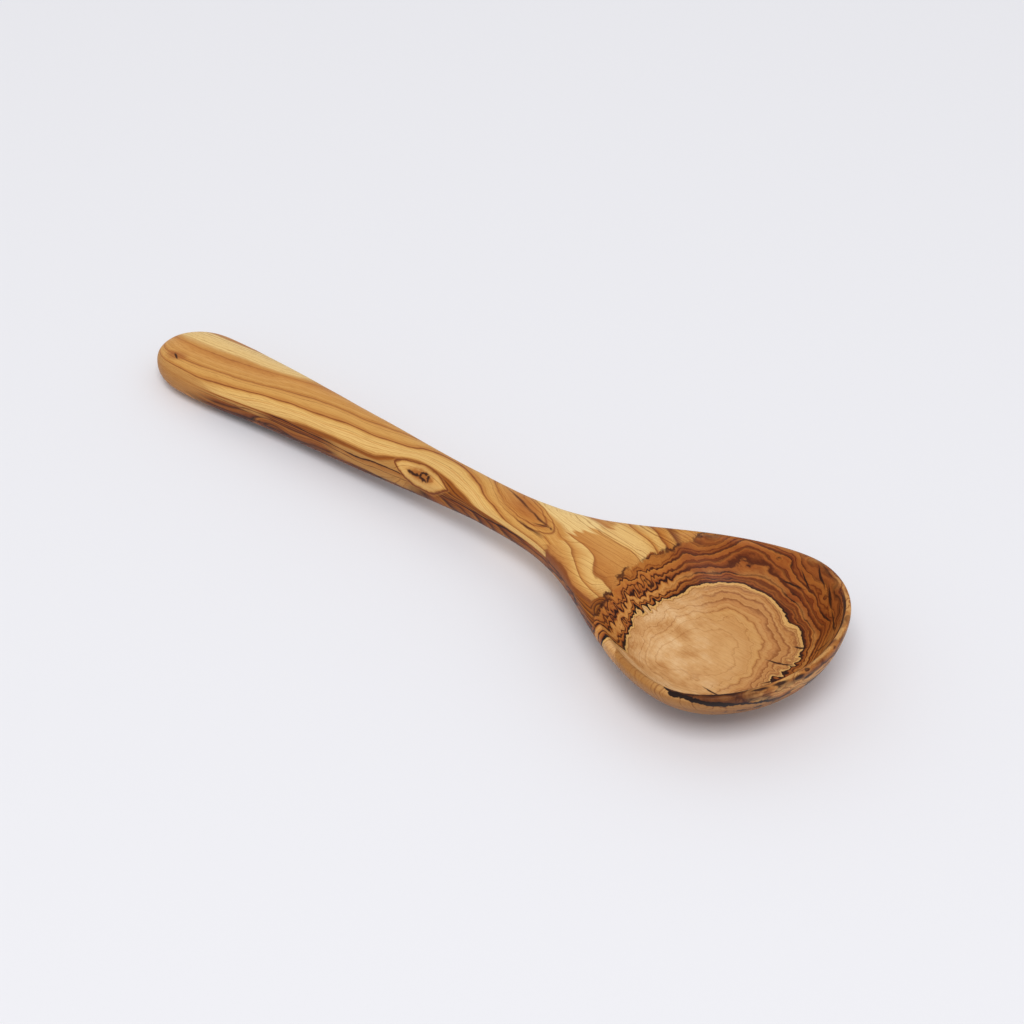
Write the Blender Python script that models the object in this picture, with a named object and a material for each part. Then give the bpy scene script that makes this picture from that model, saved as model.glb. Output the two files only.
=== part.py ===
"""A wooden ladle carved from a single block of olive wood.

X runs along the ladle towards the tip of the bowl, Y is across it and Z is up. The origin is
on the table, below the middle of the ladle's length. All sizes are in metres.

The ladle is one half-loft with its mirror image. Each half-section is a line from the middle
of the top, out over the edge or the lip, and round under to the middle of the underside.
Straight sections follow the handle, the neck and the back of the bowl. At both ends the
sections fan out about an upright line, which rounds the end of the handle and the front of
the bowl.
"""

import math

import bmesh
import bpy
import numpy as np

# Lengths along the ladle, each from the station before it
END_LENGTH = 0.021  # the rounded end of the handle
GRIP_LENGTH = 0.039  # to where the grip has lost its swell
SHAFT_LENGTH = 0.0415  # to the middle of the shaft
NECK_LENGTH = 0.0605  # to the narrowest point of the neck
SHOULDER_LENGTH = 0.033  # to where the neck starts to open
CHEEK_LENGTH = 0.030  # to halfway up the flare of the bowl
BOWL_LENGTH = 0.040  # to the widest point of the bowl
FRONT_LENGTH = 0.035  # to the tip of the bowl

# Half-widths at those stations
END_HALF_WIDTH = 0.0157
GRIP_HALF_WIDTH = 0.0125
SHAFT_HALF_WIDTH = 0.0102
NECK_HALF_WIDTH = 0.0078
SHOULDER_HALF_WIDTH = 0.0124
CHEEK_HALF_WIDTH = 0.0285
BOWL_HALF_WIDTH = 0.0425

# Heights of the top above the table: the crest of the handle, then the lip of the bowl
BUTT_TOP = 0.0139
END_TOP = 0.0150
GRIP_TOP = 0.0195
SHAFT_TOP = 0.0209
NECK_TOP = 0.0226
SHOULDER_TOP = 0.0239
CHEEK_TOP = 0.0237
BOWL_TOP = 0.0241
TIP_TOP = 0.0294

# Thicknesses below the crest, which leave the handle's underside arched clear of the table
BUTT_THICKNESS = 0.0133
GRIP_THICKNESS = 0.0178
SHAFT_THICKNESS = 0.0167
NECK_THICKNESS = 0.0137
SHOULDER_THICKNESS = 0.0157
CHEEK_THICKNESS = 0.0182

# The hollow
LIP_THICKNESS = 0.0026
FLOOR_THICKNESS = 0.0062
SANDED_DEPTH = 0.0004  # taken off the round underside to leave the flat that the bowl stands on
BACK_LENGTH = 0.048  # from the hollow's back edge to the widest point of the bowl

# Fullness of the curves: 2 is an ellipse and a higher number is squarer
END_PLAN = 2.1
BOWL_PLAN = 1.9
HANDLE_OVER = 2.85
HANDLE_UNDER = 2.5
LIP_OVER = 4.5
BOWL_SIDE = 2.05
BOWL_UNDER = 1.62
WALL_STEEPNESS = 5.0
WALL_ROUNDING = 1.25
BACK_STEEPNESS = 4.5
BACK_ROUNDING = 1.6

# Share of the thickness below the widest line
HANDLE_SIDE_SHARE = 0.5
BOWL_SIDE_SHARE = 0.9

# Counts of faces
END_FAN = 9
ALONG = 56
FRONT_FAN = 16
OVER = 18
UNDER = 12

OLIVE_WOOD = (0.50, 0.235, 0.065, 1.0)
SATIN = 0.42


def running_total(lengths):
    """Distances from the end of the handle to each station."""
    return np.cumsum(lengths)


END_X, GRIP_X, SHAFT_X, NECK_X, SHOULDER_X, CHEEK_X, BOWL_X, TIP_X = running_total(
    [
        END_LENGTH,
        GRIP_LENGTH,
        SHAFT_LENGTH,
        NECK_LENGTH,
        SHOULDER_LENGTH,
        CHEEK_LENGTH,
        BOWL_LENGTH,
        FRONT_LENGTH,
    ]
)


def batten(points, start_slope=None, end_slope=None):
    """A smooth line held at each (distance, value) point, as a bent batten lies: a cubic spline.

    An end with no slope given is left straight.
    """
    x, value = np.array(points).T
    gap = np.diff(x)
    slope = np.diff(value) / gap
    count = len(x)
    rows = np.eye(count)
    right = np.zeros(count)
    for i in range(1, count - 1):
        rows[i, i - 1 : i + 2] = gap[i - 1], 2 * (gap[i - 1] + gap[i]), gap[i]
        right[i] = 6 * (slope[i] - slope[i - 1])
    if start_slope is not None:
        rows[0, :2] = 2 * gap[0], gap[0]
        right[0] = 6 * (slope[0] - start_slope)
    if end_slope is not None:
        rows[-1, -2:] = gap[-1], 2 * gap[-1]
        right[-1] = 6 * (end_slope - slope[-1])
    bend = np.linalg.solve(rows, right)

    def value_at(where):
        i = min(max(int(np.searchsorted(x, where)) - 1, 0), count - 2)
        before = (x[i + 1] - where) / gap[i]
        after = 1 - before
        curve = (before**3 - before) * bend[i] + (after**3 - after) * bend[i + 1]
        return before * value[i] + after * value[i + 1] + curve * gap[i] ** 2 / 6

    return value_at


half_width = batten(
    [
        (END_X, END_HALF_WIDTH),
        (GRIP_X, GRIP_HALF_WIDTH),
        (SHAFT_X, SHAFT_HALF_WIDTH),
        (NECK_X, NECK_HALF_WIDTH),
        (SHOULDER_X, SHOULDER_HALF_WIDTH),
        (CHEEK_X, CHEEK_HALF_WIDTH),
        (BOWL_X, BOWL_HALF_WIDTH),
    ],
    start_slope=0.0,
    end_slope=0.0,
)
top = batten(
    [
        (0.0, BUTT_TOP),
        (END_X, END_TOP),
        (GRIP_X, GRIP_TOP),
        (SHAFT_X, SHAFT_TOP),
        (NECK_X, NECK_TOP),
        (SHOULDER_X, SHOULDER_TOP),
        (CHEEK_X, CHEEK_TOP),
        (BOWL_X, BOWL_TOP),
        (TIP_X, TIP_TOP),
    ]
)
underside = batten(
    [
        (0.0, BUTT_TOP - BUTT_THICKNESS),
        (END_X, 0.0),
        (GRIP_X, GRIP_TOP - GRIP_THICKNESS),
        (SHAFT_X, SHAFT_TOP - SHAFT_THICKNESS),
        (NECK_X, NECK_TOP - NECK_THICKNESS),
        (SHOULDER_X, SHOULDER_TOP - SHOULDER_THICKNESS),
        (CHEEK_X, CHEEK_TOP - CHEEK_THICKNESS),
        (BOWL_X, -SANDED_DEPTH),
    ],
    end_slope=0.0,
)


def ease(share):
    """0 to 1 with a gentle start and finish."""
    share = min(max(share, 0.0), 1.0)
    return share * share * (3 - 2 * share)


def section(x, across, reach):
    """Heights over and under a point of a section that reaches out to reach: (over, under)."""
    bowl = ease((x - NECK_X) / (BOWL_X - NECK_X))

    def between(handle_value, bowl_value):
        return handle_value + (bowl_value - handle_value) * bowl

    crest = top(x)
    keel = underside(min(x, BOWL_X))
    widest = keel + between(HANDLE_SIDE_SHARE, BOWL_SIDE_SHARE) * (crest - keel)
    share = min(across / reach, 1.0)

    fullness = between(HANDLE_OVER, LIP_OVER)
    over = widest + (crest - widest) * (1 - share**fullness) ** (1 / fullness)
    back = min(max((BOWL_X - x) / BACK_LENGTH, 0.0), 1.0)
    inside = min(across / (reach - LIP_THICKNESS), 1.0)
    hollow = (1 - back**BACK_STEEPNESS) ** BACK_ROUNDING
    hollow *= (1 - inside**WALL_STEEPNESS) ** WALL_ROUNDING
    over -= (over - FLOOR_THICKNESS) * hollow

    side = between(HANDLE_UNDER, BOWL_SIDE)
    belly = between(HANDLE_UNDER, BOWL_UNDER)
    under = widest - (widest - keel) * (1 - share**side) ** (1 / belly)
    return over, max(under, 0.0)


def half_section(middle, angle, reach):
    """Points of one half-section, from the middle of the top to the middle of the underside."""
    points = []
    for i in range(OVER + UNDER + 1):
        if i <= OVER:
            share = math.sin(math.pi / 2 * i / OVER)
        else:
            share = math.cos(math.pi / 2 * (i - OVER) / UNDER)
        across = reach * share
        x = middle + across * math.cos(angle)
        over, under = section(x, across, reach)
        height = over if i < OVER else under
        points.append((x - TIP_X / 2, across * math.sin(angle), height))
    return points


def plan_reach(angle, length, width, fullness):
    """Distance from a fan's middle to its outline, a superellipse, in the direction of angle."""
    along = (abs(math.cos(angle)) / length) ** fullness
    sideways = (abs(math.sin(angle)) / width) ** fullness
    return (along + sideways) ** (-1 / fullness)


def half_sections():
    """All half-sections in order from the end of the handle to the tip of the bowl."""
    found = []
    for i in range(END_FAN):
        angle = math.pi - math.pi / 2 * i / END_FAN
        reach = plan_reach(angle, END_LENGTH, END_HALF_WIDTH, END_PLAN)
        found.append(half_section(END_X, angle, reach))
    for x in np.linspace(END_X, BOWL_X, ALONG + 1):
        found.append(half_section(x, math.pi / 2, half_width(x)))
    for i in range(1, FRONT_FAN + 1):
        angle = math.pi / 2 - math.pi / 2 * i / FRONT_FAN
        reach = plan_reach(angle, FRONT_LENGTH, BOWL_HALF_WIDTH, BOWL_PLAN)
        found.append(half_section(BOWL_X, angle, reach))
    return found


def wood():
    """Oiled olive wood, as one plain colour."""
    material = bpy.data.materials.new("olive wood")
    material.use_nodes = True
    shader = material.node_tree.nodes["Principled BSDF"]
    shader.inputs["Base Color"].default_value = OLIVE_WOOD
    shader.inputs["Roughness"].default_value = SATIN
    shader.inputs["Metallic"].default_value = 0.0
    return material


def make_ladle():
    """Lofts the half-sections and mirrors them across the ladle's middle."""
    shape = bmesh.new()
    rows = []
    for points in half_sections():
        row = [shape.verts.new(point) for point in points]
        rows.append(row)
    for before, after in zip(rows, rows[1:]):
        for i in range(len(before) - 1):
            shape.faces.new((before[i], after[i], after[i + 1], before[i + 1]))
    bmesh.ops.remove_doubles(shape, verts=shape.verts, dist=1e-6)
    bmesh.ops.recalc_face_normals(shape, faces=shape.faces)
    mesh = bpy.data.meshes.new("ladle")
    shape.to_mesh(mesh)
    shape.free()
    mesh.shade_smooth()
    mesh.materials.append(wood())
    ladle = bpy.data.objects.new("ladle", mesh)
    bpy.context.scene.collection.objects.link(ladle)
    mirror = ladle.modifiers.new("other half", "MIRROR")
    mirror.use_axis = (False, True, False)
    mirror.use_clip = True
    mirror.merge_threshold = 1e-5
    return ladle


for old in list(bpy.data.objects):
    bpy.data.objects.remove(old, do_unlink=True)
make_ladle()
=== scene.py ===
"""A wooden ladle carved from one block of olive wood, oiled, lying on a pale floor.

X runs along the ladle towards the tip of its bowl, Y is across it and Z is up. Lengths are in
metres, and the patterns in the wood are worked out in millimetres.
"""

import math

import bpy
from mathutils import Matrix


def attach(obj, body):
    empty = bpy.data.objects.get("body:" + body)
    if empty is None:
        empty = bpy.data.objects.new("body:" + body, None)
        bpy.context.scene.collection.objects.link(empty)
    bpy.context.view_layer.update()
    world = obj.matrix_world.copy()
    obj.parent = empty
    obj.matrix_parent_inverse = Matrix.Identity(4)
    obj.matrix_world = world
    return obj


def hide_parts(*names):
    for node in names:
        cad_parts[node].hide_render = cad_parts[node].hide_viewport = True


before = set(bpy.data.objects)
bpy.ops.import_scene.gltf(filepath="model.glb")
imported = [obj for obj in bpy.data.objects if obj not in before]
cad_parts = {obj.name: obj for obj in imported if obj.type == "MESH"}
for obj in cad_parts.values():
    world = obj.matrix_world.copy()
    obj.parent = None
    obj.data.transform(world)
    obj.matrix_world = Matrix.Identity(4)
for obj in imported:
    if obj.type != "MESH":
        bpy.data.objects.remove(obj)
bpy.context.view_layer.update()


# The ladle. It is one piece of wood: a round bowl, hollowed with a spoon gouge, and a handle that
# narrows to a neck. It was rasped, scraped and sanded by hand, so no surface is quite even.
bpy.ops.object.select_all(action="DESELECT")
ladle = bpy.data.objects.new("carved_ladle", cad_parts["ladle"].data.copy())
bpy.context.scene.collection.objects.link(ladle)
bpy.context.view_layer.objects.active = ladle
ladle.select_set(True)

bpy.ops.object.mode_set(mode="EDIT")
bpy.ops.mesh.select_all(action="SELECT")
bpy.ops.mesh.remove_doubles(threshold=1e-6)
bpy.ops.mesh.tris_convert_to_quads(
    face_threshold=math.radians(15), shape_threshold=math.radians(50)
)
bpy.ops.mesh.normals_make_consistent(inside=False)
bpy.ops.object.mode_set(mode="OBJECT")

rounding = ladle.modifiers.new("rounding", "SUBSURF")
rounding.levels = 2
rounding.render_levels = 2
bpy.ops.object.modifier_apply(modifier="rounding")

# The hand leaves low swells about as long as a finger is wide. They only take wood away.
swells = bpy.data.textures.new("hand sanding", "CLOUDS")
swells.noise_scale = 0.022
swells.noise_depth = 1
sanding = ladle.modifiers.new("sanding", "DISPLACE")
sanding.texture = swells
sanding.texture_coords = "LOCAL"
sanding.strength = 0.0004
sanding.mid_level = 1.0
bpy.ops.object.modifier_apply(modifier="sanding")
bpy.ops.object.shade_smooth()


def linear(hex_colour):
    """A linear RGBA colour from an sRGB hex value."""
    parts = [int(hex_colour[i : i + 2], 16) / 255 for i in (0, 2, 4)]
    return [
        p / 12.92 if p <= 0.04045 else ((p + 0.055) / 1.055) ** 2.4 for p in parts
    ] + [1.0]


# Olive wood, sanded fine and oiled. Its growth layers lie nearly flat in the bowl, so the hollow
# cuts them into nested ovals, and they run along the handle as long streaks.
olive = bpy.data.materials.new("olive wood, sanded and oiled")
olive.use_nodes = True
nodes, links = olive.node_tree.nodes, olive.node_tree.links
nodes.clear()


def add(kind, *values, out=0, **settings):
    """Adds a node, sets it and fills its inputs in order; a dict fills them by name or number."""
    node = nodes.new("ShaderNode" + kind)
    for name, value in settings.items():
        setattr(node, name, value)
    filled = dict(enumerate(value for value in values if not isinstance(value, dict)))
    for value in values:
        if isinstance(value, dict):
            filled.update(value)
    for key, value in filled.items():
        if isinstance(value, bpy.types.NodeSocket):
            links.new(value, node.inputs[key])
        else:
            node.inputs[key].default_value = value
    return node.outputs[out] if node.outputs else None


# A mix of colours has the one below in its input 6, the one above in 7, and the result in output 2
below, above = 6, 7
of_colours = {"data_type": "RGBA", "out": 2}


def layers(value, lowest, highest, stops):
    """Colours growth layers by their height, from (height, hex colour) stops."""
    share = add("MapRange", value, lowest, highest)
    colour = add("ValToRGB", share)
    elements = colour.node.color_ramp.elements
    while len(elements) < len(stops):
        elements.new(0.5)
    for element, (at, hex_colour) in zip(elements, stops):
        element.position = (at - lowest) / (highest - lowest)
        element.color = linear(hex_colour)
    return colour


millimetres_in_a_metre = 1000.0
place = add("TexCoord", out="Object")
place = add("VectorMath", place, {"Scale": millimetres_in_a_metre}, operation="SCALE")
along = add("SeparateXYZ", place, out="X")
across = add("SeparateXYZ", place, out="Y")
height = add("SeparateXYZ", place, out="Z")


def ripple(sizes, depth, detail=2.0, roughness=0.5):
    """Uneven waves of this depth either way, whose patches have these sizes in millimetres."""
    spread = add("Mapping", place, {"Scale": [1 / size for size in sizes]})
    noise = add(
        "TexNoise",
        {"Vector": spread, "Scale": 1.0, "Detail": detail, "Roughness": roughness},
        out="Fac",
    )
    return add("MapRange", noise, 0.0, 1.0, -2 * depth, 2 * depth)


def away_from(centre, size, turn, point=place):
    """How far a point is from a centre: 1 at the edge of an oval of this size, turned in plan."""
    inside = add(
        "Mapping",
        point,
        {"Location": centre, "Rotation": (0.0, 0.0, math.radians(turn)), "Scale": size},
        vector_type="TEXTURE",
    )
    return add("VectorMath", inside, operation="LENGTH", out="Value")


def swirl(centre, size, turn, depth):
    """A smooth hill of this depth in the layers, as round a knot."""
    away = away_from(centre, size, turn)
    return add("MapRange", away, 1.0, 0.0, 0.0, depth, interpolation_type="SMOOTHSTEP")


def piled(*parts):
    """The height of a place in the layers: everything that lifts or sinks them there."""
    found = parts[0]
    for part in parts[1:]:
        found = add("Math", found, part, operation="ADD")
    return found


def within(strength, *limits):
    """A patch this strong that fades at its limits: (measure, where it ends, where it is full)."""
    for measure, end, full in limits:
        edge = add("MapRange", measure, end, full)
        strength = add("Math", strength, edge, operation="MULTIPLY")
    return strength


def traced(measure, lowest, highest, points):
    """A smooth line through (measure, height) points, which lie between these heights."""
    start, stop = points[0][0], points[-1][0]
    line = add("FloatCurve", 1.0, add("MapRange", measure, start, stop))
    curve = line.node.mapping.curves[0]
    while len(curve.points) < len(points):
        curve.points.new(0.5, 0.5)
    for point, (at, high) in zip(curve.points, points):
        point.location = (at - start) / (stop - start), (high - lowest) / (highest - lowest)
    line.node.mapping.update()
    return add("MapRange", line, 0.0, 1.0, lowest, highest, clamp=False)


# On the handle the layers stand on edge and wander across it. At each place along it this is how
# far they have gone, in millimetres.
wander = traced(
    along,
    lowest=-30.0,
    highest=10.0,
    points=[
        (-150, 4.6),
        (-130, 5.2),
        (-112, 3.0),
        (-98, -0.4),
        (-85, -4.6),
        (-65, -8.6),
        (-45, -10.8),
        (-30, -14.2),
        (-14, -18.2),
        (0, -16.0),
        (14, -9.4),
        (30, -4.0),
        (60, 0.0),
        (150, 0.0),
    ],
)
# Its rounded near side cuts through many of them at once
near_side = piled(
    height,
    add("Math", along, -0.045, operation="MULTIPLY"),
    add("MapRange", along, 0.0, 55.0, 0.0, -1.1),
)
near_side = add("MapRange", near_side, 18.8, 14.8, 0.0, -8.0, interpolation_type="SMOOTHSTEP")
near_side = within(near_side, (across, -3.0, -7.0))
handle_layer = piled(
    across,
    wander,
    near_side,
    add("Math", height, 0.8, -16.0, operation="MULTIPLY_ADD"),
    ripple((45.0, 9.0, 9.0), 1.1),
    ripple((14.0, 3.0, 3.0), 0.35, 4.0, 0.6),
    swirl((-134.0, -15.0, 6.0), (24.0, 7.0, 11.0), 0.0, -4.0),
    swirl((-118.0, 6.0, 16.0), (34.0, 11.0, 12.0), 0.0, -2.4),
    swirl((-18.0, -7.5, 17.5), (19.0, 9.0, 10.0), 0.0, -4.0),
    swirl((-84.0, -13.0, 9.0), (12.0, 4.0, 5.0), 0.0, -4.0),
    swirl((48.0, -7.0, 22.0), (12.0, 7.0, 14.0), -30.0, 4.0),
)
layered_handle = layers(
    handle_layer,
    -22.0,
    20.0,
    [
        (-22.0, "7E451C"),
        (-21.5, "C98F48"),
        (-20.0, "E8BF76"),
        (-17.4, "EAC27B"),
        (-17.0, "D8A35C"),
        (-16.5, "EAC279"),
        (-14.4, "E3B66B"),
        (-13.7, "C48742"),
        (-13.2, "8E5024"),
        (-12.8, "C28340"),
        (-11.5, "D6A157"),
        (-9.4, "DFAD62"),
        (-8.0, "D29850"),
        (-7.4, "9D5F2C"),
        (-7.0, "CC8F46"),
        (-5.6, "D9A35A"),
        (-3.9, "D39A51"),
        (-3.5, "DDA75F"),
        (-1.4, "CF924A"),
        (-0.6, "C68640"),
        (1.0, "D09850"),
        (2.4, "F0CE8B"),
        (9.6, "F2D393"),
        (10.9, "B87A40"),
        (12.0, "CB9250"),
        (20.0, "D8A55B"),
    ],
)
# The near side of the handle is coloured dark brown. Part of that is its own close dark layers, and
# part is painted shade that makes that side darker than the top.
side_layers_and_shade = layers(
    handle_layer,
    -46.0,
    -21.0,
    [
        (-46.0, "7E4414"),
        (-43.0, "9C5C21"),
        (-42.2, "451D06"),
        (-41.6, "864614"),
        (-39.0, "A76720"),
        (-38.2, "3A1706"),
        (-37.6, "723A10"),
        (-36.0, "9A5A1C"),
        (-35.4, "4D2108"),
        (-34.8, "8E4F18"),
        (-33.0, "AA6928"),
        (-32.0, "371504"),
        (-31.4, "70350D"),
        (-29.8, "98581C"),
        (-29.2, "451D06"),
        (-28.7, "854614"),
        (-27.0, "AE6D26"),
        (-26.2, "3D1706"),
        (-25.7, "7A3E10"),
        (-24.4, "A4611D"),
        (-23.8, "59260A"),
        (-23.2, "A25E1D"),
        (-22.0, "8C4E18"),
        (-21.0, "BE782C"),
    ],
)

# Where the handle widens, the layers spread into flames, pale on one side and sharp on the other
flame_layer = piled(
    across,
    add("Math", along, 0.3, -13.5, operation="MULTIPLY_ADD"),
    ripple((18.0, 8.0, 10.0), 1.6, 2.0, 0.4),
    swirl((66.0, -16.0, 22.0), (16.0, 10.0, 14.0), -25.0, 5.0),
    swirl((73.0, 3.0, 22.0), (20.0, 9.0, 14.0), 0.0, -6.0),
)
layered_flare = layers(
    flame_layer,
    -16.0,
    32.0,
    [
        (-16.0, "A3662D"),
        (-12.0, "8D4E22"),
        (-11.4, "C18343"),
        (-9.0, "D6A058"),
        (-7.0, "E4B86E"),
        (-6.8, "A3652D"),
        (-5.8, "D19750"),
        (-2.6, "EAC179"),
        (-2.1, "E7BC73"),
        (-1.9, "9F5D28"),
        (-1.2, "C58541"),
        (3.0, "D0954F"),
        (7.6, "D9A259"),
        (8.1, "9D5D2A"),
        (8.5, "E4B66D"),
        (11.0, "ECC581"),
        (17.0, "EAC27B"),
        (19.6, "DDAA60"),
        (20.0, "9D5D28"),
        (20.7, "CC8F47"),
        (23.2, "E6BB71"),
        (25.4, "E0B167"),
        (25.9, "915020"),
        (26.8, "BF7C35"),
        (28.6, "D39C52"),
        (29.3, "7E441C"),
        (32.0, "C88E45"),
    ],
)

# In the bowl they close round the hollow. They are jagged at its back edge, at the foot of its
# front wall and by the near lip, wide and cloudy in the middle of its floor, and wavy high on its
# wall.
endless = 1000.0
oval = away_from((105.5, -5.0, 0.0), (25.5, 33.0, endless), 0.0)
jagged = 0.0
for centre, size, turn, strength in (
    ((78.0, -8.0, 14.0), (13.0, 30.0, 30.0), 0.0, 2.0),
    ((132.0, 2.0, 10.0), (9.0, 22.0, 30.0), 0.0, 1.6),
    ((131.0, -36.0, 24.0), (26.0, 9.0, 12.0), 28.0, 1.6),
):
    patch = swirl(centre, size, turn, strength)
    jagged = add("Math", jagged, patch, operation="MAXIMUM")
middle = add("MapRange", oval, 0.75, 0.2)
upper_wall = within(1.0, (along, 92.0, 108.0), (height, 11.0, 17.0))
bowl_layer = piled(
    add("Math", oval, 12.0, -6.6, operation="MULTIPLY_ADD"),
    add("Math", height, 0.3, operation="MULTIPLY"),
    ripple((22.0, 16.0, 16.0), 1.0),
    ripple((9.0, 5.0, 5.0), 0.6, 4.0, 0.6),
    add("Math", ripple((5.0, 2.0, 5.0), 0.8, 1.0, 0.5), jagged, operation="MULTIPLY"),
    add("Math", ripple((7.0, 9.0, 9.0), 0.8, 2.0), jagged, operation="MULTIPLY"),
    add("Math", ripple((13.0, 8.0, 8.0), 2.4, 3.0), middle, operation="MULTIPLY"),
    add("Math", ripple((13.0, 11.0, 8.0), 1.7, 2.0), upper_wall, operation="MULTIPLY"),
    swirl((131.0, 18.0, 10.0), (16.0, 16.0, 20.0), 0.0, -2.4),
    swirl((97.0, -14.0, 6.0), (9.0, 14.0, 20.0), 10.0, -2.5),
    swirl((98.0, 33.0, 20.0), (22.0, 9.0, 10.0), -8.0, -1.4),
    swirl((84.0, 30.0, 20.0), (13.0, 6.0, 10.0), 40.0, 2.2),
    swirl((119.0, 36.0, 20.0), (14.0, 8.0, 8.0), -30.0, 1.8),
    swirl((134.0, 24.0, 20.0), (9.0, 12.0, 9.0), -20.0, -2.0),
)
# On the near wall towards the handle they turn level, and the wood of the floor runs up to the lip
level = away_from((100.0, -37.0, 16.0), (14.0, 17.0, 22.0), 0.0)
level = add("MapRange", level, 0.85, 1.5, 6.4, 12.0, clamp=False)
level = piled(level, ripple((9.0, 6.0, 6.0), 0.7, 3.0))
bowl_layer = add("Math", bowl_layer, level, operation="MINIMUM")

# The dark heart of the tree shows all round the hollow but on its near side, where the outside of
# the bowl is plain. The edge between them is a black line that crosses the lip and runs along
# below it. These are its heights, in millimetres, against the direction from the bowl's middle in
# degrees.
bowl_middle = 110.0
rim_turn = add("Math", along, bowl_middle, operation="SUBTRACT")
rim_turn = add("Math", across, rim_turn, operation="ARCTAN2")
rim_turn = add("Math", rim_turn, math.degrees(1.0), operation="MULTIPLY")
black_line = traced(
    rim_turn,
    lowest=0.0,
    highest=40.0,
    points=[
        (-90, 31.0),
        (-84, 27.6),
        (-79, 24.0),
        (-72, 23.7),
        (-66, 23.2),
        (-58, 22.3),
        (-51, 21.9),
        (-44, 21.4),
        (-36, 20.4),
        (-30, 19.4),
        (-20, 17.4),
        (0, 15.0),
    ],
)
# How far out a place lies: 0.95 at the inner edge of the lip, 1 on its top, more on the outside.
# From its widest line the bowl reaches further towards the handle than towards the tip.
widest_line, handle_scale = 115.0, 0.64
back = add("Math", along, widest_line, operation="SUBTRACT")
shorter = add("Math", back, handle_scale, operation="MULTIPLY")
back = add("Math", back, shorter, operation="MAXIMUM")
round_bowl = add("CombineXYZ", back, across, height)
outside = away_from((0.0, 0.0, 24.5), (33.6, 41.1, 21.0), 0.0, round_bowl)
# The shell is the outer surface alone, also where the bowl turns under: above zero on it, and
# below zero inside the hollow, in about millimetres
half_bowl = 40.0
shell = add("MapRange", height, 22.0, 6.5, 0.94, 1.045)
shell = add("Math", outside, shell, operation="SUBTRACT")
shell = add("Math", shell, half_bowl, operation="MULTIPLY")
# How deep in the plain wood a place is: below the black line, in the shell, on the near side and
# clear of the neck
near_enough = piled(
    add("Math", across, -1.0, -16.0, operation="MULTIPLY_ADD"),
    add("Math", height, 0.6, operation="MULTIPLY"),
    ripple((12.0, 9.0, 3.0), 2.5),
)
off_neck = piled(along, add("Math", across, 0.56, -72.8, operation="MULTIPLY_ADD"))
plain_depth = add("Math", black_line, height, operation="SUBTRACT")
plain_depth = piled(plain_depth, add("MapRange", outside, 0.95, 1.0, -3.5, 0.0))
for limit in shell, near_enough, off_neck:
    plain_depth = add("Math", plain_depth, limit, operation="MINIMUM")
plain_depth = piled(plain_depth, ripple((2.6, 2.6, 4.0), 0.7, 2.0, 0.6))
plain = add("MapRange", plain_depth, 0.0, 0.6)
# On the far wall, and less so at the tip, the heart wood is deeper in colour
deep_side = add("MapRange", piled(across, ripple((24.0, 9.0, 9.0), 5.0)), 9.0, 24.0)
deep_tip = add("MapRange", piled(along, ripple((8.0, 8.0, 8.0), 3.0)), 122.0, 136.0, 0.0, 0.45)
deep = add("Math", deep_side, deep_tip, operation="MAXIMUM")
deep = add(
    "Math",
    deep,
    add("MapRange", ripple((16.0, 6.0, 6.0), 0.5, 3.0), 0.15, -0.15, 0.55, 1.0),
    operation="MULTIPLY",
)

# The floor of the hollow is cloudy on its near side and towards the handle, and ringed beyond
rings = layers(
    bowl_layer,
    -6.0,
    9.0,
    [
        (-6.0, "D7A569"),
        (-1.0, "DCAC70"),
        (1.2, "D3A064"),
        (3.0, "D3A060"),
        (3.4, "BC8249"),
        (3.8, "CF9A5D"),
        (4.5, "C0854E"),
        (4.8, "A06534"),
        (5.1, "C99359"),
        (5.7, "C0874D"),
        (5.95, "92562B"),
        (6.25, "CB965B"),
        (6.8, "C0874C"),
        (7.05, "965A2D"),
        (7.3, "D2A062"),
        (7.6, "DEB16D"),
        (9.0, "E6BC78"),
    ],
)
cloud = layers(
    ripple((10.0, 8.0, 8.0), 0.5, 4.0, 0.6),
    -0.5,
    0.5,
    [(-0.3, "C69158"), (0.0, "DCAE76"), (0.3, "EBC695")],
)
ringed = add("MapRange", piled(along, across), 97.5, 115.0, 0.1, 0.9)
ringed = add("Math", ringed, add("MapRange", bowl_layer, 7.0, 7.6), operation="MAXIMUM")
floor_wood = add("Mix", ringed, {below: cloud, above: rings}, **of_colours)
# Its walls are the heart wood, in thin dark lines
heart_wood = layers(
    bowl_layer,
    7.0,
    24.0,
    [
        (7.0, "DBA962"),
        (7.9, "C98C46"),
        (8.05, "1A0A05"),
        (8.45, "220E06"),
        (8.7, "8E481A"),
        (9.3, "BC742E"),
        (9.45, "3A170A"),
        (9.7, "53230C"),
        (9.85, "BC7733"),
        (10.7, "D79D58"),
        (11.3, "C98840"),
        (11.6, "814018"),
        (11.75, "200C05"),
        (12.05, "371507"),
        (12.25, "9B5323"),
        (12.8, "BC7430"),
        (12.95, "30140A"),
        (13.2, "723915"),
        (13.4, "B46B2E"),
        (14.5, "C8833B"),
        (14.65, "371407"),
        (14.9, "653011"),
        (15.1, "AB6627"),
        (16.8, "C4823B"),
        (16.95, "441B0A"),
        (17.25, "83451A"),
        (17.5, "B57433"),
        (19.6, "C88B46"),
        (19.8, "56270E"),
        (20.1, "B97A3B"),
        (24.0, "C98F4B"),
    ],
)
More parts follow.
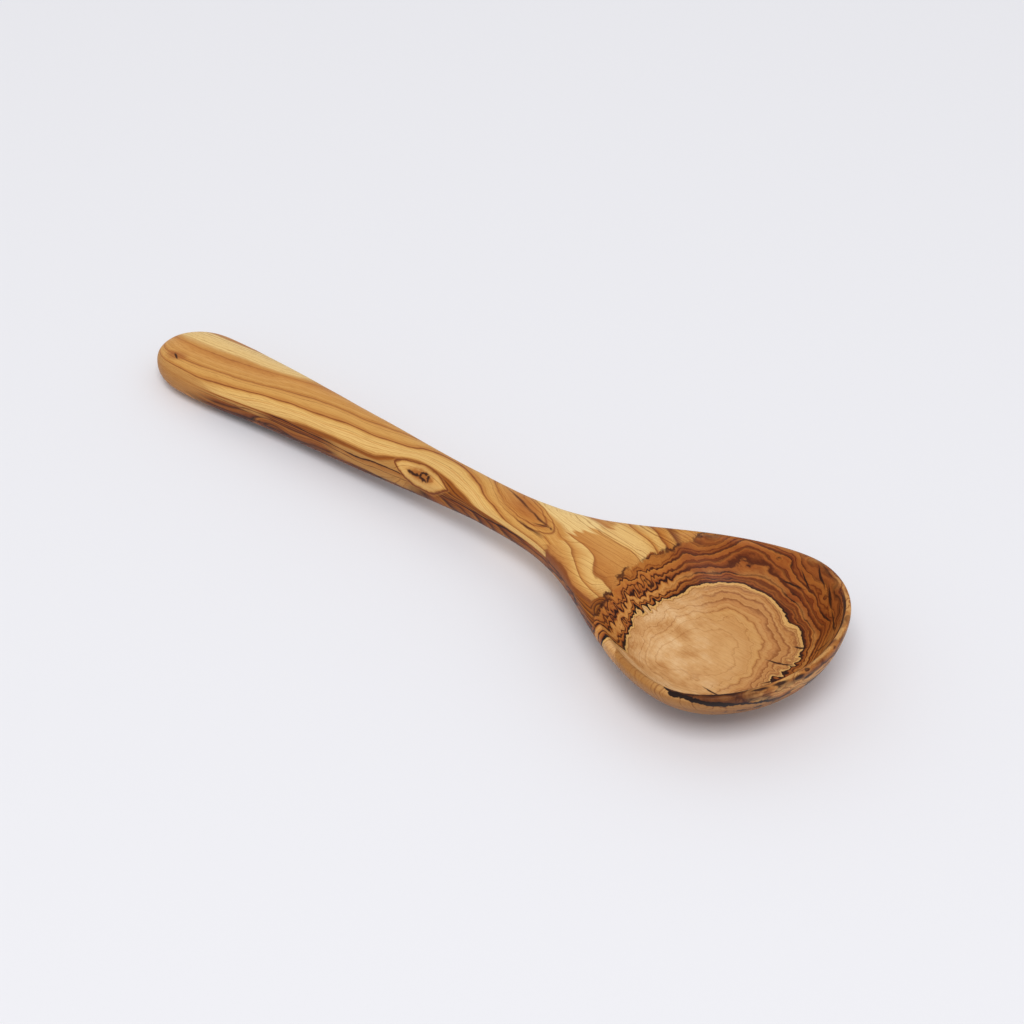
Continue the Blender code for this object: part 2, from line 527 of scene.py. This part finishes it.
deep_wood = layers(
    bowl_layer,
    7.0,
    24.0,
    [
        (7.0, "DBA962"),
        (7.85, "B0702E"),
        (8.0, "2A1007"),
        (8.2, "341408"),
        (8.35, "8A4818"),
        (8.8, "A05C24"),
        (8.9, "2A1007"),
        (9.1, "6A300F"),
        (9.5, "94501C"),
        (10.2, "A05A22"),
        (10.35, "240F06"),
        (10.55, "5A270C"),
        (10.7, "8C4818"),
        (11.4, "9C5420"),
        (11.55, "38170A"),
        (11.8, "75350F"),
        (12.6, "A05A22"),
        (12.72, "43200E"),
        (12.85, "7A3C14"),
        (13.4, "96501E"),
        (14.4, "A86024"),
        (14.5, "240F06"),
        (14.7, "6A300F"),
        (15.2, "8C481A"),
        (16.5, "A86225"),
        (16.6, "4A220E"),
        (16.75, "8A4A1C"),
        (17.4, "A05A24"),
        (18.6, "482009"),
        (18.8, "8C4C1C"),
        (21.0, "9C5C27"),
        (24.0, "A0622C"),
    ],
)
# From the near side round to the tip, the lip and the wood below it are marbled, as burl is
lip_layer = piled(
    add("Math", outside, 20.0, -19.0, operation="MULTIPLY_ADD"),
    add("Math", height, 0.35, -8.5, operation="MULTIPLY_ADD"),
    ripple((24.0, 15.0, 15.0), 2.2, 3.0, 0.5),
    ripple((9.0, 7.0, 5.0), 0.9, 3.0),
)
lip_wood = layers(
    lip_layer,
    -6.0,
    6.0,
    [
        (-6.0, "8A4E22"),
        (-4.4, "A8682E"),
        (-4.1, "2E1208"),
        (-3.6, "6A3415"),
        (-2.9, "C48644"),
        (-2.4, "3A1A0C"),
        (-2.0, "7A4019"),
        (-1.4, "B06E32"),
        (-0.8, "C4883F"),
        (-0.5, "1E0C06"),
        (0.0, "4A220E"),
        (0.7, "A5622A"),
        (1.4, "C08244"),
        (1.7, "2A1007"),
        (2.2, "6E3815"),
        (3.2, "B27236"),
        (3.5, "2E1208"),
        (4.0, "8A4A1C"),
        (6.0, "9A5C28"),
    ],
)
# The plain wood has faint level bands, and is darker towards the table
plain_wood = layers(
    piled(height, ripple((30.0, 8.0, 8.0), 0.8), ripple((8.0, 3.0, 1.2), 0.3)),
    0.0,
    30.0,
    [
        (0.0, "804B1E"),
        (3.0, "915E2A"),
        (6.0, "885324"),
        (8.0, "9C6834"),
        (11.0, "915B29"),
        (14.0, "A4743C"),
        (17.0, "996632"),
        (19.0, "AD7C44"),
        (22.0, "AD7940"),
        (25.0, "DFB072"),
        (30.0, "D9A766"),
    ],
)

# Handle and bowl meet at the back edge of the hollow, on a ragged line that is dark in places. On
# the far outside it slants down towards the tip.
under_lip = add("MapRange", height, 22.0, 0.0, 0.0, -32.0)
far_side = within(1.0, (across, -6.0, 4.0), (shell, 0.0, 1.0))
rim_curve = add("Math", across, across, operation="MULTIPLY")
into_bowl = piled(
    add("Math", rim_curve, -0.010, -70.5, operation="MULTIPLY_ADD"),
    along,
    ripple((5.0, 4.0, 5.0), 1.8, 4.0, 0.7),
    add("Math", under_lip, far_side, operation="MULTIPLY"),
)
in_bowl = add("MapRange", into_bowl, -0.4, 0.4)
border = add("MapRange", add("Math", into_bowl, operation="ABSOLUTE"), 0.9, 0.2, 0.0, 0.9)
broken = add("MapRange", ripple((6.0, 7.0, 7.0), 0.5, 3.0), -0.12, 0.12)
broken = add("Math", broken, far_side, operation="MAXIMUM")
border = add("Math", border, broken, operation="MULTIPLY")
# The black line is ragged, and thickest at 122 mm
edge_depth = add("Math", plain_depth, operation="ABSOLUTE")
edge_depth = piled(
    edge_depth,
    ripple((5.0, 4.0, 8.0), 0.5, 3.0),
    add("MapRange", along, 112.0, 122.0, 0.35, 0.0),
    add("MapRange", along, 122.0, 136.0, -0.1, 0.1),
)
plain_border = within(
    1.0,
    (edge_depth, 1.05, 0.7),
    (across, -12.0, -20.0),
    (along, 110.0, 113.0),
    (height, 14.0, 17.0),
)
on_floor = add("MapRange", bowl_layer, 8.05, 7.9)
on_top = add("MapRange", handle_layer, -22.2, -21.6)
on_flare = piled(
    along,
    add("MapRange", across, -3.0, 8.0, 0.0, -7.0),
    add("MapRange", across, -16.0, -8.0, 7.0, 0.0),
    ripple((22.0, 1.8, 8.0), 5.0, 3.0),
)
on_flare = within(on_top, (on_flare, 45.4, 47.4))
# High on the near side the wood is tan, just before the knot and towards the handle's end
by_knot = within(0.85, (along, -62.0, -52.0), (along, -14.0, -24.0))
side_tan = add("Math", by_knot, within(0.85, (along, -84.0, -92.0)), operation="MAXIMUM")
side_tan = within(
    side_tan,
    (piled(height, ripple((18.0, 5.0, 3.0), 1.3, 3.0)), 10.2, 11.2),
    (handle_layer, -22.9, -23.7),
)
side_layers_and_shade = add("Mix", side_tan, {below: side_layers_and_shade, above: linear("C4914F")}, **of_colours)
# The top takes the layered colours, and the near side takes its dark colours, which carry painted
# shade
handle_wood = add("Mix", on_top, {below: side_layers_and_shade, above: layered_handle}, **of_colours)
# Dark lines run along the near side, closer together towards the table
side_lines = layers(
    piled(
        height,
        add("Math", along, -0.035, operation="MULTIPLY"),
        ripple((34.0, 6.0, 5.0), 1.1),
        ripple((9.0, 4.0, 3.0), 0.35, 3.0),
    ),
    0.0,
    20.0,
    [
        (3.0, "D9B892"),
        (4.9, "C9A27C"),
        (5.2, "6B3D20"),
        (5.7, "D9B892"),
        (6.8, "F2E0CC"),
        (7.1, "5C3018"),
        (7.3, "5C3018"),
        (7.6, "E6CDB0"),
        (8.6, "FFF4E6"),
        (8.9, "6B3D20"),
        (9.2, "F4E2CC"),
        (10.2, "FFF4E6"),
        (10.4, "482410"),
        (10.7, "5C3018"),
        (10.9, "F4DCC0"),
        (11.3, "5C3018"),
        (11.6, "FFFFFF"),
        (14.5, "FFFFFF"),
        (14.75, "8C5C38"),
        (15.0, "FFFFFF"),
        (16.2, "F0D8BC"),
        (16.5, "4A2410"),
        (16.7, "5C3018"),
        (16.9, "FFFFFF"),
    ],
)
lined = within(1.0, (handle_layer, -21.8, -22.6), (along, -128.0, -112.0))
handle_wood = add(
    "Mix", lined, {below: handle_wood, above: side_lines}, blend_type="MULTIPLY", **of_colours
)
# The rounded end of the handle cuts across the pale and the dark layers, and shows plain tan
at_end = within(
    0.85,
    (piled(along, ripple((26.0, 5.0, 4.0), 7.0, 3.0)), -110.0, -124.0),
    (handle_layer, -12.8, -14.6),
)
handle_wood = add("Mix", at_end, {below: handle_wood, above: linear("BF8A4C")}, **of_colours)
handle_wood = add("Mix", on_flare, {below: handle_wood, above: layered_flare}, **of_colours)
wood = add("Mix", deep, {below: heart_wood, above: deep_wood}, **of_colours)
# The marbling reaches lower on the outside than in the hollow. Towards the near side the lip is
# drawn darker, partly in its own darker marbling and partly as painted shade
low = piled(height, add("MapRange", shell, 0.0, 1.0, 0.0, 8.0))
on_lip = within(
    1.0, (outside, 0.945, 0.965), (low, 17.0, 20.0), (across, 30.0, 16.0), (along, 108.0, 112.0)
)
wood = add("Mix", on_floor, {below: wood, above: floor_wood}, **of_colours)
# Painted shade, in part: the lip darkens towards the near side in patches
near_lip_dark_and_shade = add("MapRange", piled(across, ripple((8.0, 8.0, 5.0), 4.0, 3.0)), -18.0, -28.0, 0.0, 0.6)
lip_wood = add("Mix", near_lip_dark_and_shade, {below: lip_wood, above: linear("3E1D0C")}, **of_colours)
wood = add("Mix", on_lip, {below: wood, above: lip_wood}, **of_colours)
# The top of the lip is pale in places, and a dark line of painted shadow runs where the hollow
# begins
far_lip = add("MapRange", piled(across, ripple((9.0, 9.0, 9.0), 5.0, 2.0)), 0.0, 14.0, 0.0, 0.15)
near_lip = piled(across, ripple((6.0, 6.0, 9.0), 4.0, 3.0))
near_lip = within(1.0, (near_lip, -27.0, -21.0), (along, 122.0, 134.0))
crest = add("Math", near_lip, far_lip, operation="MAXIMUM")
crest = within(crest, (outside, 0.962, 0.972), (outside, 1.03, 1.01), (height, 19.0, 21.5))
patchy = add("MapRange", ripple((9.0, 9.0, 4.0), 1.0, 3.0), -0.3, 0.1, 0.1, 0.7)
crest = add("Math", crest, patchy, operation="MULTIPLY")
wood = add("Mix", crest, {below: wood, above: linear("E0AC68")}, **of_colours)
# Painted shadow: a thin dark line just inside the lip, along the edge of the hollow
hollow_edge = 0.953
lip_inner_shadow_line = add("Math", outside, hollow_edge, operation="SUBTRACT")
lip_inner_shadow_line = add("Math", lip_inner_shadow_line, operation="ABSOLUTE")
lip_inner_shadow_line = piled(lip_inner_shadow_line, ripple((7.0, 7.0, 7.0), 0.003, 2.0))
lip_inner_shadow_line = within(
    0.9,
    (lip_inner_shadow_line, 0.015, 0.008),
    (height, 20.0, 22.0),
    (across, 34.0, 28.0),
    (along, 126.0, 132.0),
)
wood = add("Mix", lip_inner_shadow_line, {below: wood, above: linear("2A1208")}, **of_colours)
wood = add("Mix", plain, {below: wood, above: plain_wood}, **of_colours)
wood = add("Mix", in_bowl, {below: handle_wood, above: wood}, **of_colours)

# The knot in the near edge of the handle is an eye of rings, and the one by its end is a speck.
# The edge is round, so the eye is drawn by the distances along it and round it. Small bends keep
# every drawn line from being smooth.
shaken = add("TexNoise", {"Vector": place, "Scale": 0.16, "Detail": 4.0}, out="Color")
shaken = add("VectorMath", shaken, (0.5, 0.5, 0.5), operation="SUBTRACT")
shaken = add("VectorMath", shaken, (3.4, 3.4, 3.4), operation="MULTIPLY")
skin = add("CombineXYZ", {"X": along, "Y": piled(across, height)})
skin = add("VectorMath", shaken, (1.2, 1.2, 0.0), skin, operation="MULTIPLY_ADD")
eye = add(
    "Math",
    away_from((-16.3, 2.4, 0.0), (15.2, 15.2, 1.0), 0.0, skin),
    away_from((-16.3, 20.9, 0.0), (15.2, 15.2, 1.0), 0.0, skin),
    operation="MAXIMUM",
)
eye_wood = layers(
    eye,
    0.5,
    1.1,
    [
        (0.5, "B4743A"),
        (0.62, "C88A48"),
        (0.70, "B87A3C"),
        (0.74, "DCA860"),
        (0.88, "E4B870"),
        (0.93, "D8A45A"),
        (0.97, "8A4C20"),
        (0.99, "703A18"),
        (1.01, "9C5C2A"),
        (1.04, "D09850"),
        (1.1, "DDA95E"),
    ],
)
eye_strength = add("MapRange", piled(across, height), 19.0, 13.0, 0.5, 0.95)
on_eye = within(eye_strength, (eye, 1.05, 1.0))
wood = add("Mix", on_eye, {below: wood, above: eye_wood}, **of_colours)
bent = add("VectorMath", shaken, (0.5, 0.5, 0.5), place, operation="MULTIPLY_ADD")
speck = away_from((-136.5, -8.0, 14.0), (7.0, 3.2, 5.0), 10.0, bent)
speck = add("MapRange", speck, 1.0, 0.3, 0.0, 0.7, interpolation_type="SMOOTHSTEP")
wood = add("Mix", speck, {below: wood, above: linear("A8632F")}, **of_colours)

# Past the neck one layer folds back on itself, like a hairpin
fold = away_from((20.0, 1.2, 22.5), (22.5, 5.6, 14.0), -17.0, bent)
fold_wood = layers(
    fold,
    0.0,
    1.1,
    [
        (0.0, "C08040"),
        (0.1, "B87538"),
        (0.55, "BE7B3A"),
        (0.74, "CB8D46"),
        (0.80, "9A5A2A"),
        (0.84, "C98B45"),
        (0.95, "D39A50"),
        (0.99, "9C5E2C"),
        (1.03, "D09850"),
        (1.1, "DDAC62"),
    ],
)
on_fold = within(1.0, (fold, 1.1, 1.0), (along, 10.0, 24.0))
wood = add("Mix", on_fold, {below: wood, above: fold_wood}, **of_colours)

# Year lines, finer than those bands. A mix of numbers has them in its inputs 2 and 3.
layer = add("Mix", in_bowl, {2: handle_layer, 3: bowl_layer})
year = add(
    "TexNoise",
    {"W": layer, "Scale": 1.7, "Detail": 3.0, "Roughness": 0.65},
    noise_dimensions="1D",
    out="Fac",
)
year_shade = layers(
    year,
    0.0,
    1.0,
    [(0.32, "A67C56"), (0.40, "E8D2B8"), (0.52, "FFFFFF"), (0.75, "FFFCF4")],
)
year_strength = add("MapRange", middle, 0.0, 1.0, 0.6, 0.2)
year_strength = add(
    "Math",
    year_strength,
    add("Math", deep, add("MapRange", on_floor, 1.0, 0.0, 0.0, 0.3), operation="MULTIPLY"),
    operation="ADD",
)
wood = add(
    "Mix", year_strength, {below: wood, above: year_shade}, blend_type="MULTIPLY", **of_colours
)
wood = add("Mix", border, {below: wood, above: linear("4A200C")}, **of_colours)
wood = add("Mix", plain_border, {below: wood, above: linear("1E0C05")}, **of_colours)

# Fibres run along the block. They are far finer than this, and drawn as coarse as they show
fibre = ripple((7.0, 0.35, 0.35), 0.5, 3.0, 0.6)
fibre_shade = layers(
    fibre, -1.0, 1.0, [(-0.5, "CDB094"), (0.0, "F6EDE2"), (0.5, "FFFFFF")]
)
wood = add("Mix", 0.5, {below: wood, above: fibre_shade}, blend_type="MULTIPLY", **of_colours)


def strokes(point, widest, darkest, strength, places):
    """Thin lines, each a long oval: its middle, its half sizes in millimetres and its turn."""
    drawn = 0.0
    for centre, size, turn in places:
        stroke = away_from(centre, size, turn, point)
        stroke = add("MapRange", stroke, widest, darkest, 0.0, strength)
        drawn = add("Math", drawn, stroke, operation="MAXIMUM")
    return drawn


# Brown veins run with the fold
veins = [
    ((22.0, 1.6, 22.5), (12.0, 0.55, 8.0), -20.0),
    ((33.0, -2.2, 22.5), (9.0, 0.6, 8.0), -15.0),
    ((36.5, -4.3, 22.5), (4.5, 0.45, 8.0), 8.0),
    ((39.6, -4.0, 22.5), (1.0, 0.6, 8.0), -40.0),
    ((33.0, -7.2, 21.0), (7.5, 0.5, 8.0), -10.0),
]
# Black ones stray from the layers on the far wall, on the floor of the hollow and along the lip,
# and the one at -136 mm is the crack in the knot by the handle's end
streaks = [
    ((122.3, 36.6, 22.0), (5.5, 0.32, 8.0), -37.0),
    ((129.8, 31.3, 21.0), (6.0, 0.35, 8.0), -47.0),
    ((137.5, 22.2, 21.0), (8.0, 0.35, 8.0), -51.0),
    ((117.5, 35.6, 18.5), (5.0, 0.32, 6.0), -28.0),
    ((113.0, 33.8, 15.5), (6.0, 0.32, 6.0), 3.0),
    ((131.6, 26.4, 17.5), (6.0, 0.3, 6.0), -36.0),
    ((139.5, 14.0, 17.0), (4.0, 0.5, 8.0), 8.0),
    ((-136.0, -8.3, 14.0), (2.4, 0.6, 5.0), -30.0),
    ((129.5, 16.5, 8.0), (3.2, 0.5, 9.0), 8.0),
    ((127.5, 7.5, 7.0), (6.0, 0.5, 9.0), 14.0),
    ((119.0, -17.5, 9.0), (5.0, 0.5, 9.0), 0.0),
    ((131.0, -1.0, 9.0), (5.0, 0.5, 9.0), 50.0),
    ((122.6, -36.6, 25.0), (3.0, 0.5, 6.0), 20.0),
    ((133.0, -33.0, 25.0), (5.5, 0.7, 6.0), 36.0),
    ((141.8, -24.2, 26.7), (3.8, 0.6, 0.8), 55.0),
    ((145.2, -18.2, 27.0), (3.8, 0.7, 0.9), 63.0),
    ((148.0, -11.8, 26.6), (3.0, 0.7, 1.1), 74.0),
    ((148.7, -7.6, 24.3), (3.0, 0.8, 1.1), 82.0),
    ((149.1, -3.0, 22.7), (3.4, 0.8, 0.7), 89.0),
    ((149.1, 2.0, 22.5), (3.0, 0.8, 0.7), 92.0),
    ((148.9, 6.9, 24.2), (3.4, 0.9, 1.1), 95.0),
    ((143.1, -20.1, 19.5), (4.4, 1.0, 0.6), 63.0),
    ((145.2, -14.4, 19.0), (4.0, 1.0, 0.6), 75.0),
    ((146.7, -8.0, 18.6), (4.6, 1.0, 0.6), 80.0),
]
veined = strokes(bent, 1.1, 0.3, 0.9, veins)
wood = add("Mix", veined, {below: wood, above: linear("4C2110")}, **of_colours)
# The eye has ragged cracks, and a core of red-brown wood round them
ragged = add("TexNoise", {"Vector": place, "Scale": 0.7, "Detail": 2.0}, out="Color")
ragged = add("VectorMath", ragged, (0.5, 0.5, 0.5), operation="SUBTRACT")
ragged = add("VectorMath", ragged, (2.2, 2.2, 0.0), skin, operation="MULTIPLY_ADD")
cracks = [
    ((-19.6, 11.5, 0.0), (3.8, 1.1, 1.0), 0.0),
    ((-15.3, 13.5, 0.0), (2.2, 0.8, 1.0), 14.0),
    ((-13.2, 12.1, 0.0), (0.8, 2.1, 1.0), 0.0),
    ((-15.3, 10.5, 0.0), (2.4, 1.0, 1.0), -8.0),
    ((-16.7, 12.0, 0.0), (0.8, 1.7, 1.0), 0.0),
]
core = away_from((-16.5, 12.0, 0.0), (6.5, 3.4, 1.0), 0.0, ragged)
core = add("MapRange", core, 1.0, 0.5, 0.0, 0.85)
wood = add("Mix", core, {below: wood, above: linear("A05E26")}, **of_colours)
black = add(
    "Math",
    strokes(bent, 1.0, 0.5, 0.95, streaks),
    strokes(ragged, 1.0, 0.5, 0.95, cracks),
    operation="MAXIMUM",
)
wood = add("Mix", black, {below: wood, above: linear("30140A")}, **of_colours)

surface = add(
    "BsdfPrincipled",
    {
        "Base Color": wood,
        "Roughness": add("MapRange", fibre, -0.5, 0.5, 0.52, 0.44),
        "IOR": 1.47,
        "Specular IOR Level": 0.2,
    },
)
add("OutputMaterial", surface)

ladle.data.materials.clear()
ladle.data.materials.append(olive)
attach(ladle, "root")
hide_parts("ladle")


# The floor is plain, pale and matt, and wide enough to fill every view
bpy.ops.object.select_all(action="DESELECT")
bpy.ops.mesh.primitive_plane_add(size=6.0, location=(0.0, 0.0, 0.0))
floor = bpy.context.object
floor.name = "floor"
paint = bpy.data.materials.new("pale matt paint")
paint.use_nodes = True
shader = paint.node_tree.nodes["Principled BSDF"]
shader.inputs["Base Color"].default_value = linear("EFEFF4")
shader.inputs["Roughness"].default_value = 0.9
shader.inputs["Specular IOR Level"].default_value = 0.2
floor.data.materials.append(paint)


# Soft studio light: even light all round, and a broad lamp high on the near side of the bowl, which
# leaves only a narrow shadow in view
world = bpy.data.worlds.new("even light")
bpy.context.scene.world = world
world.use_nodes = True
background = world.node_tree.nodes["Background"]
background.inputs["Color"].default_value = (1.0, 1.0, 1.0, 1.0)
background.inputs["Strength"].default_value = 0.6

bpy.ops.object.light_add(type="AREA", location=(0.9, -1.24, 3.0))
lamp = bpy.context.object
lamp.name = "broad lamp"
lamp.data.shape = "SQUARE"
lamp.data.size = 1.5
lamp.data.energy = 52.0
lamp.rotation_euler = (-lamp.location).to_track_quat("-Z", "Y").to_euler()


# The camera looks down at 40 degrees, from the near side of the bowl. Its place and its lens were
# fitted to the outline of the ladle in the photograph.
bpy.ops.object.camera_add(
    location=(0.50067, -0.56842, 0.64231),
    rotation=(math.radians(50.0), 0.0, math.radians(40.27)),
)
camera = bpy.context.object
camera.data.lens = 99.80
camera.data.sensor_width = 36.0
bpy.context.scene.camera = camera
bpy.context.scene.view_settings.view_transform = "Standard"
